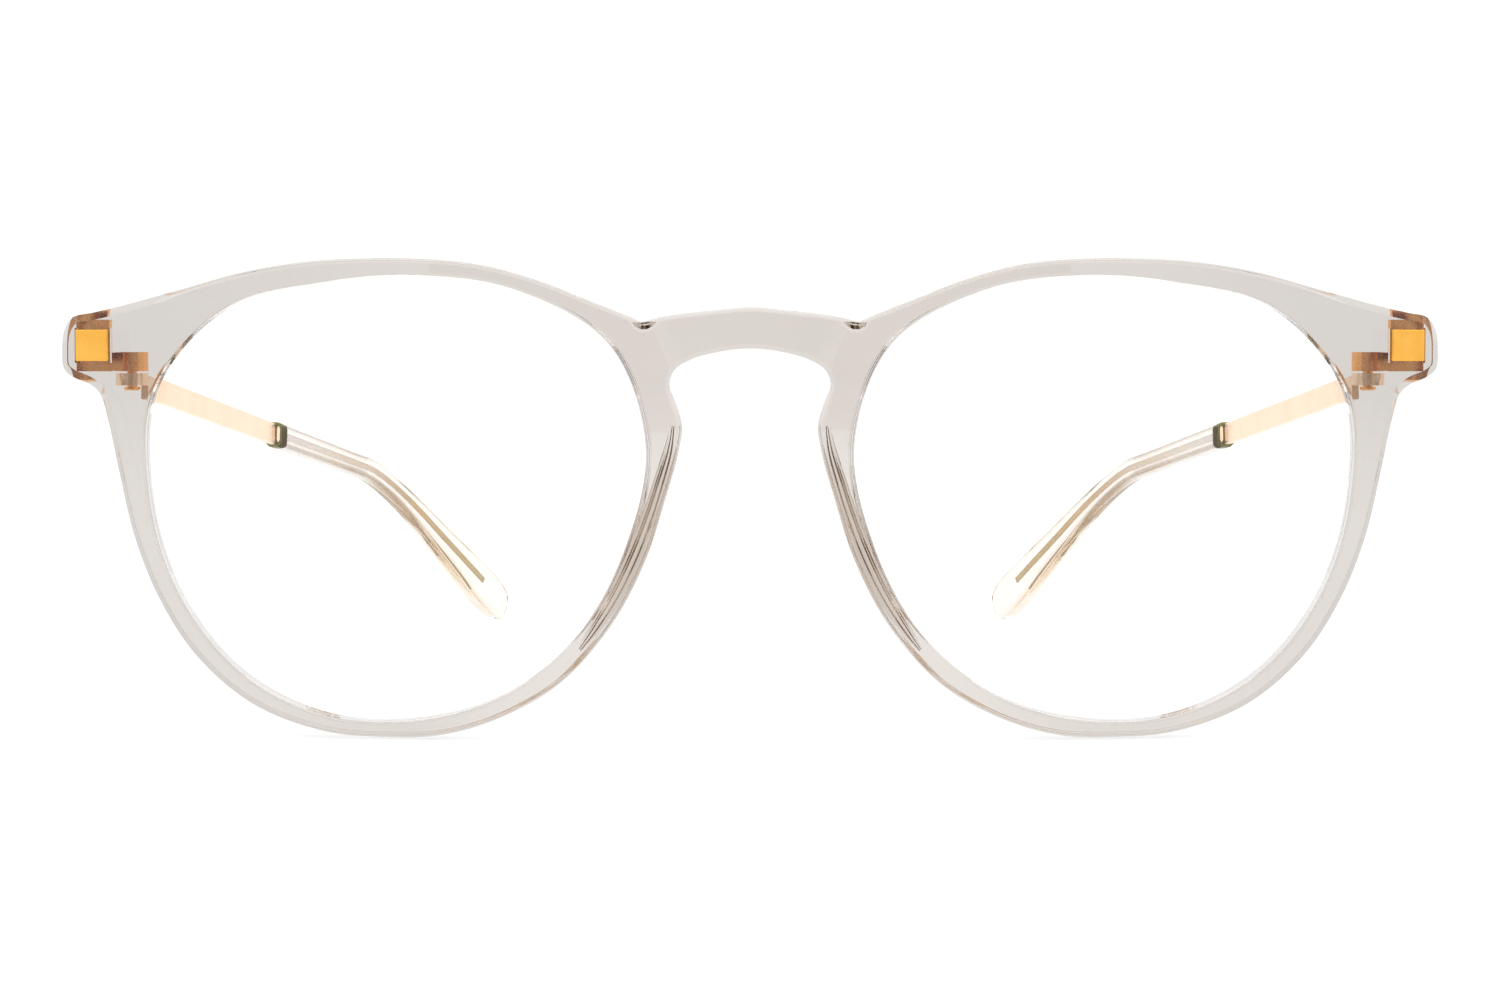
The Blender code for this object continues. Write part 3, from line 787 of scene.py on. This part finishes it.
def square_plate(name, side, material):
    """The plate with softened edges, joined to the stud behind it."""
    half_x, half_z = PLATE_SIZE[0] / 2, PLATE_SIZE[1] / 2
    low, high = (-half_x, -PLATE_PROUD, -half_z), (half_x, PLATE_THICKNESS - PLATE_PROUD, half_z)
    plate = shape(f"square_plate_{name}", lambda bm: box_into(bm, low, high, plate_place(side)), material)
    soften(plate, PLATE_ROUND, 4)
    apply_modifiers(plate)
    ends = (PLATE_THICKNESS - PLATE_PROUD - STUD_OVERLAP, STUD_END)
    stud = shape("stud", lambda bm: rod_into(bm, STUD_RADIUS, ends, along_stud(side)))
    join_by(plate, stud, "UNION")
    shade(plate)
    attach(plate, "front")
    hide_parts(f"front_plate_{name}")


def hinge_axis(side):
    for joint in frame["joints"]:
        if joint["child"] == ("temple_left" if side > 0 else "temple_right"):
            return Vector((joint["pos_m"][0], joint["pos_m"][1], 0.0))
    raise ValueError("no hinge on this side")


# ---------------------------------------------------------------- temples


def temple_path(side):
    """The middle line from hinge to tip: its start, the bend's corner, and the two directions."""
    axis = hinge_axis(side) / MM
    inboard = BARREL_RADIUS - STRIP_THICKNESS / 2
    start = Vector((side * axis.x - inboard, axis.y, ARM_Z))
    first = Vector((-INWARD, 1.0, -DOWNWARD))
    corner = start + first * BEND_Y
    return start, corner, first.normalized(), Vector(DROP).normalized()


def temple_frame(at, side):
    """Position, inward-to-outward axis, upward axis and direction, a distance from the hinge."""
    start, corner, first, second = temple_path(side)
    turn = first.angle(second)
    tangent_length = BEND_RADIUS * math.tan(turn / 2)
    straight = (corner - start).length - tangent_length
    arc = BEND_RADIUS * turn
    if at <= straight:
        point, direction = start + first * at, first
    elif at >= straight + arc:
        point = corner + second * (tangent_length + at - straight - arc)
        direction = second
    else:
        angle = (at - straight) / BEND_RADIUS
        inwards = (second - first * first.dot(second)).normalized()
        centre = start + first * straight + inwards * BEND_RADIUS
        point = centre + (first * math.sin(angle) - inwards * math.cos(angle)) * BEND_RADIUS
        direction = first * math.cos(angle) + inwards * math.sin(angle)
    across = Vector((direction.y, -direction.x, 0.0)).normalized()
    up = across.cross(direction)
    mirror = Vector((side, 1.0, 1.0))
    return point * mirror, across * mirror, up * mirror, direction * mirror


def strip_ring(at, side, thickness, height, radius):
    """A rectangle with rounded corners, across the temple."""
    point, across, up, _ = temple_frame(at, side)
    ring = []
    for corner in range(4):
        a_sign = (1, -1, -1, 1)[corner]
        b_sign = (1, 1, -1, -1)[corner]
        for step in range(4):
            angle = math.pi / 2 * (corner + step / 3)
            a = a_sign * (thickness / 2 - radius) + radius * math.cos(angle)
            b = b_sign * (height / 2 - radius) + radius * math.sin(angle)
            ring.append(point + across * a + up * b)
    return ring


def steps_between(first, last, step):
    count = max(1, round((last - first) / step))
    return [first + (last - first) * i / count for i in range(count + 1)]


def tongue_into(bm, side):
    """The slim tongue of the strip that shows at the ferrule's mouth."""
    wide, narrow = TONGUE_SIZE[0] / 2, TONGUE_SIZE[0] / 6
    tall, shoulder = TONGUE_SIZE[1] / 2, TONGUE_SIZE[1] / 3
    outline = (
        (wide, shoulder), (narrow, tall), (-narrow, tall), (-wide, shoulder),
        (-wide, -shoulder), (0.0, -tall), (wide, -shoulder),
    )
    mouth = FERRULE_AT - FERRULE_LEAD
    rings = []
    for at, slope in ((mouth - TONGUE_PROUD, TONGUE_SLOPE), (mouth + TONGUE_ROOT, 0.0)):
        ring = []
        for a, b in outline:
            point, across, up, _ = temple_frame(at - slope * a, side)
            ring.append(point + across * (a + TONGUE_ACROSS) + up * b)
        rings.append(ring)
    loft(bm, rings)


def temple_arm(name, side, material):
    shoulder = FERRULE_AT + CORE_START
    rings = [
        strip_ring(at, side, STRIP_THICKNESS, STRIP_HEIGHT, STRIP_ROUND)
        for at in steps_between(0.0, shoulder, 4.0)
    ]
    rings += [
        strip_ring(at, side, CORE_THICKNESS, CORE_HEIGHT, STRIP_ROUND)
        for at in steps_between(shoulder + CORE_STEP, CORE_END, 1.0)
    ]
    arm = shape(f"gold_temple_{name}", lambda bm: loft(bm, rings), material)
    join_by(arm, shape("tongue", lambda bm: tongue_into(bm, side)), "UNION")
    axis = Matrix.Translation(hinge_axis(side))
    low, high = ARM_KNUCKLE_Z
    barrel = shape("barrel", lambda bm: rod_into(bm, BARREL_RADIUS, (low, high), axis))
    join_by(arm, barrel, "UNION")
    bore = shape("bore", lambda bm: rod_into(bm, BORE_RADIUS, (low - 1, high + 1), axis))
    join_by(arm, bore, "DIFFERENCE")
    shade(arm)
    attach(arm, f"temple_{name}")
    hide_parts(f"temple_arm_{name}")


def ferrule(name, side, material):
    """An eight-sided collar round the strip where the tip starts."""
    half_a, half_b = FERRULE_SIZE[0] / 2, FERRULE_SIZE[2] / 2
    cut = FERRULE_CHAMFER
    corners = (
        (half_a, half_b - cut), (half_a - cut, half_b), (cut - half_a, half_b), (-half_a, half_b - cut),
        (-half_a, cut - half_b), (cut - half_a, -half_b), (half_a - cut, -half_b), (half_a, cut - half_b),
    )
    lip, shrink = FERRULE_LIP
    start, end = -FERRULE_LEAD, FERRULE_SIZE[1]
    rings = []
    for at, scale in ((start, shrink), (start + lip, 1.0), (end - lip, 1.0), (end, shrink)):
        point, across, up, _ = temple_frame(FERRULE_AT + at, side)
        rings.append([point + across * (a * scale) + up * (b * scale) for a, b in corners])
    collar = shape(f"olive_ferrule_{name}", lambda bm: loft(bm, rings), material)
    soften(collar, FERRULE_ROUND, 2)
    apply_modifiers(collar)
    shade(collar, 25.0)
    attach(collar, f"temple_{name}")
    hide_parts(f"ferrule_{name}")


def tip_ring(at, side, thickness, height, hang):
    """A rounded section: a superellipse, between an ellipse and a rectangle."""
    point, across, up, _ = temple_frame(at, side)
    ring = []
    for i in range(TIP_SIDES):
        angle = 2 * math.pi * i / TIP_SIDES
        c, s = math.cos(angle), math.sin(angle)
        a = math.copysign(abs(c) ** TIP_SQUARE, c) * thickness / 2
        b = math.copysign(abs(s) ** TIP_SQUARE, s) * height / 2
        ring.append(point + across * a + up * (b - hang))
    return ring


def temple_tip(name, side, material):
    rows = smooth_rows(TIP_SECTIONS, TIP_STEPS)
    rings = [tip_ring(row[0], side, row[1], row[2], row[3]) for row in rows]
    at, thickness, height, hang = TIP_SECTIONS[-1]
    further, thinner, lower = TIP_CLOSING
    rings.append(tip_ring(at + further, side, thickness * thinner, height * lower, hang))
    tip = shape(f"clear_tip_{name}", lambda bm: loft(bm, rings), material)
    shade(tip, 40.0)
    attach(tip, f"temple_{name}")
    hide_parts(f"temple_tip_{name}")


# ---------------------------------------------------------------- lenses


def lens(name, side, material):
    """A thin crowned lens whose edge sits in the groove."""
    cx, cz = side * OPENING_CENTRE[0], OPENING_CENTRE[1]
    rim = opening_outline(side, LENS_EDGE, LENS_STEP)
    rings = []
    for i in range(LENS_RINGS + 1):
        share = 1 - i / LENS_RINGS
        rings.append([Vector((cx + (p.x - cx) * share, cz + (p.y - cz) * share)) for p in rim])
    bm = bmesh.new()

    def surface(depth):
        made = []
        for ring in rings[:-1]:
            row = []
            for p in ring:
                y = FRONT_Y + curved_back(p.x) - lens_sag(p.x, p.y) + depth
                row.append(bm.verts.new(Vector((p.x, y, p.y)) * MM))
            made.append(row)
        skin_between(bm, made)
        y = FRONT_Y + curved_back(cx) - LENS_CROWN + depth
        middle = bm.verts.new(Vector((cx, y, cz)) * MM)
        last = made[-1]
        for i in range(len(last)):
            bm.faces.new((last[i], last[(i + 1) % len(last)], middle))
        return made[0]

    front = surface(LENS_FRONT)
    back = surface(LENS_FRONT + LENS_THICKNESS)
    skin_between(bm, [front, back])
    glass = new_object(f"clear_lens_{name}", mesh_of(bm, "lens"), material)
    shade(glass, 40.0, weighted=False)
    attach(glass, "front")
    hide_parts(f"lens_{name}")


# ---------------------------------------------------------------- stage


def sheet(name, half, material):
    """A flat square in the XY plane, this far from its middle to each side."""
    bm = bmesh.new()
    bmesh.ops.create_grid(bm, x_segments=1, y_segments=1, size=half)
    return new_object(name, mesh_of(bm, name), material)


def stage():
    """White surroundings, a pale floor, soft lights, and a card whose brown the acetate picks up."""
    world = bpy.data.worlds.new("white_studio")
    bpy.context.scene.world = world
    world.use_nodes = True
    background = world.node_tree.nodes["Background"]
    background.inputs["Color"].default_value = (1.0, 1.0, 1.0, 1.0)
    background.inputs["Strength"].default_value = WORLD_STRENGTH

    nodes = Nodes("pale_floor")
    grey = nodes.ramp(nodes.noise(3.0), (0.28, 0.28, 0.28), (0.3, 0.3, 0.3))
    nodes.link(grey, nodes.shader.inputs["Base Color"])
    nodes.set(Roughness=0.8, Emission_Color=(1.0, 1.0, 1.0, 1.0), Emission_Strength=FLOOR_GLOW)
    floor = sheet("floor", FLOOR_SIZE, nodes.material)
    floor.location.z = cad_low.z - FLOOR_DROP

    for name, at, size, power in LIGHTS:
        light = bpy.data.lights.new(name, "AREA")
        light.size = size
        light.energy = power
        lamp = bpy.data.objects.new(name, light)
        lamp.location = at
        aim = Vector((0, 0, 0.02)) - Vector(at)
        lamp.rotation_euler = aim.to_track_quat("-Z", "Y").to_euler()
        lamp.visible_camera = False
        bpy.context.scene.collection.objects.link(lamp)

    nodes = Nodes("brown_card")
    brown = nodes.ramp(nodes.noise(5.0), (0.32, 0.20, 0.11), (0.36, 0.24, 0.14))
    nodes.link(brown, nodes.shader.inputs["Base Color"])
    card = sheet("front_card", 0.5, nodes.material)
    card.location = CARD_AT
    card.scale = (*CARD_SIZE, 1.0)
    aim = Vector((0, 0, 0.03)) - Vector(CARD_AT)
    card.rotation_euler = aim.to_track_quat("Z", "Y").to_euler()
    card.visible_camera = False
    card.visible_diffuse = False
    card.visible_shadow = False


def camera():
    data = bpy.data.cameras.new("camera")
    data.lens = CAMERA_LENS
    data.sensor_width = 36.0
    data.clip_start = 0.01
    data.clip_end = 50.0
    obj = bpy.data.objects.new("camera", data)
    obj.location = Vector(CAMERA_AT) * MM
    obj.rotation_euler = (math.radians(90 - CAMERA_TILT), 0.0, 0.0)
    bpy.context.scene.collection.objects.link(obj)
    bpy.context.scene.camera = obj


def look_settings():
    scene = bpy.context.scene
    scene.view_settings.view_transform = "Standard"
    scene.cycles.max_bounces = 24
    scene.cycles.transmission_bounces = 24
    scene.cycles.glossy_bounces = 16


def main():
    front_acetate = acetate(
        "champagne_acetate", surface=(0.845, 0.850, 0.868), absorbed=(0.53, 0.39, 0.24),
        density=125.0, ends=END_TINT,
    )
    tip_acetate = acetate(
        "clear_acetate", surface=(0.94, 0.90, 0.88), absorbed=(0.80, 0.56, 0.20), density=50.0
    )
    glass = lens_material()
    plate_gold = metal(
        "plate_gold", dark=(0.80, 0.39, 0.06), light=(0.88, 0.48, 0.10), roughness=(0.22, 0.34),
        grain=500.0, stretch=(1, 1, 1), bump=0.1,
    )
    # The strips' gold is partly real and partly a painted highlight: it is paler than the plate's gold,
    # standing in for the light that washes it out. The wire inside the tip carries a painted reflection
    # as well.
    strip_gold_painted_light = metal(
        "satin_gold", dark=(0.92, 0.63, 0.41), light=(0.95, 0.71, 0.51), roughness=(0.2, 0.32),
        grain=900.0, stretch=(1, 0.05, 1), bump=0.12, painted_reflection=CORE_PAINTED_REFLECTION,
    )
    leaf_gold = metal(
        "leaf_gold", dark=(0.90, 0.38, 0.11), light=(1.0, 0.54, 0.19), roughness=(0.15, 0.4),
        grain=1600.0, stretch=(1, 1, 1), bump=0.9,
    )
    # The ferrule's colour is partly its real dark olive plating and partly painted shade: the colours are
    # made darker so that it looks dark although its surroundings are bright.
    olive_painted_shade = metal(
        "olive_gold", dark=(0.10, 0.075, 0.008), light=(0.19, 0.15, 0.02), roughness=(0.1, 0.25),
        grain=600.0, stretch=(1, 1, 1), bump=0.1,
    )
    # Painted shade: the dark edge tint dims the ferrule's reflections.
    olive_painted_shade_shader = olive_painted_shade.node_tree.nodes["Principled BSDF"]
    olive_painted_shade_shader.inputs["Specular Tint"].default_value = (0.3, 0.25, 0.1, 1.0)

    acetate_front(front_acetate)
    for name, side in SIDES:
        lens(name, side, glass)
        square_plate(name, side, plate_gold)
        temple_arm(name, side, strip_gold_painted_light)
        ferrule(name, side, olive_painted_shade)
        temple_tip(name, side, tip_acetate)
        for part in ("hinge_leaf", "hinge_pin"):
            node = frame["nodes"][f"{part}_{name}"]
            node.data.materials.clear()
            node.data.materials.append(leaf_gold)
    stage()
    camera()
    look_settings()


main()
